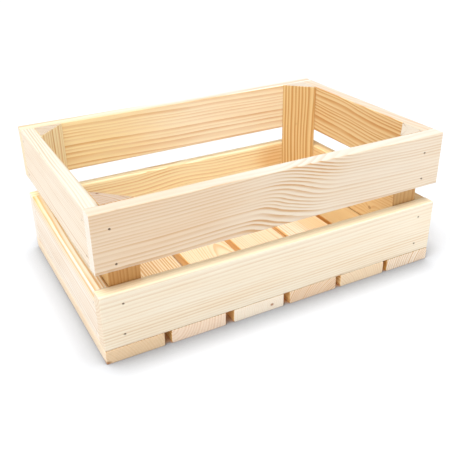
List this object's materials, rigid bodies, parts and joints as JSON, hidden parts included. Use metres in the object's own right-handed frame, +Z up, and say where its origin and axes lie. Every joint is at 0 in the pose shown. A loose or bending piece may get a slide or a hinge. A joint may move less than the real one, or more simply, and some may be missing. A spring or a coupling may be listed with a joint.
{
  "type": "wooden apple crate",
  "caption": "Open-topped slatted pine crate with spaced side slats, triangular corner posts, a boarded bottom and set nails.",
  "frame": {"origin": "centre of the footprint, on the surface that the crate stands on", "axes": "+X along the crate's length, +Y towards its back, +Z up"},
  "size_m": [0.4, 0.264, 0.159],
  "materials": {
    "slat_pine": "planed, unfinished",
    "post_pine": "sawn, unfinished",
    "board_pine": "planed, unfinished",
    "nail_steel": "bright wire, dulled"
  },
  "bodies": {
    "root": {"front_upper_slat": "slat_pine", "front_lower_slat": "slat_pine", "back_upper_slat": "slat_pine", "back_lower_slat": "slat_pine", "left_upper_slat": "slat_pine", "left_lower_slat": "slat_pine", "right_upper_slat": "slat_pine", "right_lower_slat": "slat_pine", "front_left_post": "post_pine", "front_right_post": "post_pine", "back_right_post": "post_pine", "back_left_post": "post_pine", "bottom_board_1": "board_pine", "bottom_board_2": "board_pine", "bottom_board_3": "board_pine", "bottom_board_4": "board_pine", "bottom_board_5": "board_pine", "bottom_board_6": "board_pine", "front_upper_nails": "nail_steel", "front_lower_nails": "nail_steel", "back_upper_nails": "nail_steel", "back_lower_nails": "nail_steel", "left_upper_nails": "nail_steel", "left_lower_nails": "nail_steel", "right_upper_nails": "nail_steel", "right_lower_nails": "nail_steel", "board_1_nails": "nail_steel", "board_2_nails": "nail_steel", "board_3_nails": "nail_steel", "board_4_nails": "nail_steel", "board_5_nails": "nail_steel", "board_6_nails": "nail_steel"}
  },
  "joints": []
}
